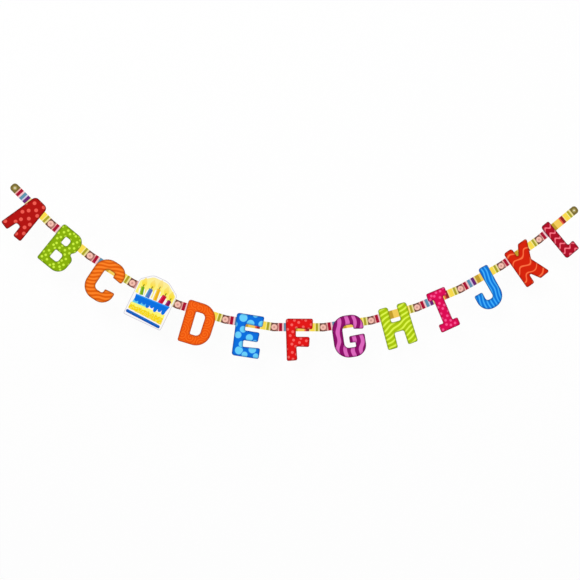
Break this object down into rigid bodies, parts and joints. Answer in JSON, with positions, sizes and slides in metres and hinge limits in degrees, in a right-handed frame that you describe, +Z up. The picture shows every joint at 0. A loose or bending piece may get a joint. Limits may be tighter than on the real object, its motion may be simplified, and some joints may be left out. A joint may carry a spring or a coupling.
{
  "type": "jointed letter banner",
  "caption": "Hanging party banner of die-cut letter cards and a cake card, each on a striped strap, joined strap to strap by small rivets that let every card swivel.",
  "frame": {"origin": "centre of the left hanging hole, on the back of the first card", "axes": "+X to the right along the hung banner, +Y away from the viewer, +Z up; the printed fronts face -Y"},
  "size_m": [1.8977, 0.0169, 0.5655],
  "materials": {
    "print_lettera": "printed",
    "print_letterb": "printed",
    "print_letterc": "printed",
    "print_cake": "printed",
    "print_letterd": "printed",
    "print_lettere": "printed",
    "print_letterf": "printed",
    "print_letterg": "printed",
    "print_letterh": "printed",
    "print_letteri": "printed",
    "print_letterj": "printed",
    "print_letterk": "printed",
    "print_letterl": "printed",
    "rivet": "satin"
  },
  "bodies": {
    "card_01": {"card_lettera": "print_lettera", "rivet_01": "rivet"},
    "card_02": {"card_letterb": "print_letterb", "rivet_02": "rivet"},
    "card_03": {"card_letterc": "print_letterc", "rivet_03": "rivet"},
    "card_04": {"card_cake": "print_cake", "rivet_04": "rivet"},
    "card_05": {"card_letterd": "print_letterd", "rivet_05": "rivet"},
    "card_06": {"card_lettere": "print_lettere", "rivet_06": "rivet"},
    "card_07": {"card_letterf": "print_letterf", "rivet_07": "rivet"},
    "card_08": {"card_letterg": "print_letterg", "rivet_08": "rivet"},
    "card_09": {"card_letterh": "print_letterh", "rivet_09": "rivet"},
    "card_10": {"card_letteri": "print_letteri", "rivet_10": "rivet"},
    "card_11": {"card_letterj": "print_letterj", "rivet_11": "rivet"},
    "card_12": {"card_letterk": "print_letterk", "rivet_12": "rivet"},
    "card_13": {"card_letterl": "print_letterl"}
  },
  "joints": [
    {"name": "swivel_01", "type": "hinge", "parent": "card_01", "child": "card_02", "pos_m": [0.11322, 0.00105, -0.11306], "axis": [0, -1, 0], "range_deg": [-160, 160]},
    {"name": "swivel_02", "type": "hinge", "parent": "card_02", "child": "card_03", "pos_m": [0.23712, 0.00235, -0.21429], "axis": [0, -1, 0], "range_deg": [-160, 160]},
    {"name": "swivel_03", "type": "hinge", "parent": "card_03", "child": "card_04", "pos_m": [0.37175, 0.00365, -0.30074], "axis": [0, -1, 0], "range_deg": [-160, 160]},
    {"name": "swivel_04", "type": "hinge", "parent": "card_04", "child": "card_05", "pos_m": [0.51634, 0.00495, -0.36925], "axis": [0, -1, 0], "range_deg": [-160, 160]},
    {"name": "swivel_05", "type": "hinge", "parent": "card_05", "child": "card_06", "pos_m": [0.66911, 0.00625, -0.41682], "axis": [0, -1, 0], "range_deg": [-160, 160]},
    {"name": "swivel_06", "type": "hinge", "parent": "card_06", "child": "card_07", "pos_m": [0.82723, 0.00755, -0.44129], "axis": [0, -1, 0], "range_deg": [-160, 160]},
    {"name": "swivel_07", "type": "hinge", "parent": "card_07", "child": "card_08", "pos_m": [0.98723, 0.00885, -0.44186], "axis": [0, -1, 0], "range_deg": [-160, 160]},
    {"name": "swivel_08", "type": "hinge", "parent": "card_08", "child": "card_09", "pos_m": [1.14562, 0.01015, -0.41928], "axis": [0, -1, 0], "range_deg": [-160, 160]},
    {"name": "swivel_09", "type": "hinge", "parent": "card_09", "child": "card_10", "pos_m": [1.29955, 0.01145, -0.37561], "axis": [0, -1, 0], "range_deg": [-160, 160]},
    {"name": "swivel_10", "type": "hinge", "parent": "card_10", "child": "card_11", "pos_m": [1.44705, 0.01275, -0.31362], "axis": [0, -1, 0], "range_deg": [-160, 160]},
    {"name": "swivel_11", "type": "hinge", "parent": "card_11", "child": "card_12", "pos_m": [1.58711, 0.01405, -0.23626], "axis": [0, -1, 0], "range_deg": [-160, 160]},
    {"name": "swivel_12", "type": "hinge", "parent": "card_12", "child": "card_13", "pos_m": [1.7194, 0.01535, -0.14627], "axis": [0, -1, 0], "range_deg": [-160, 160]}
  ]
}
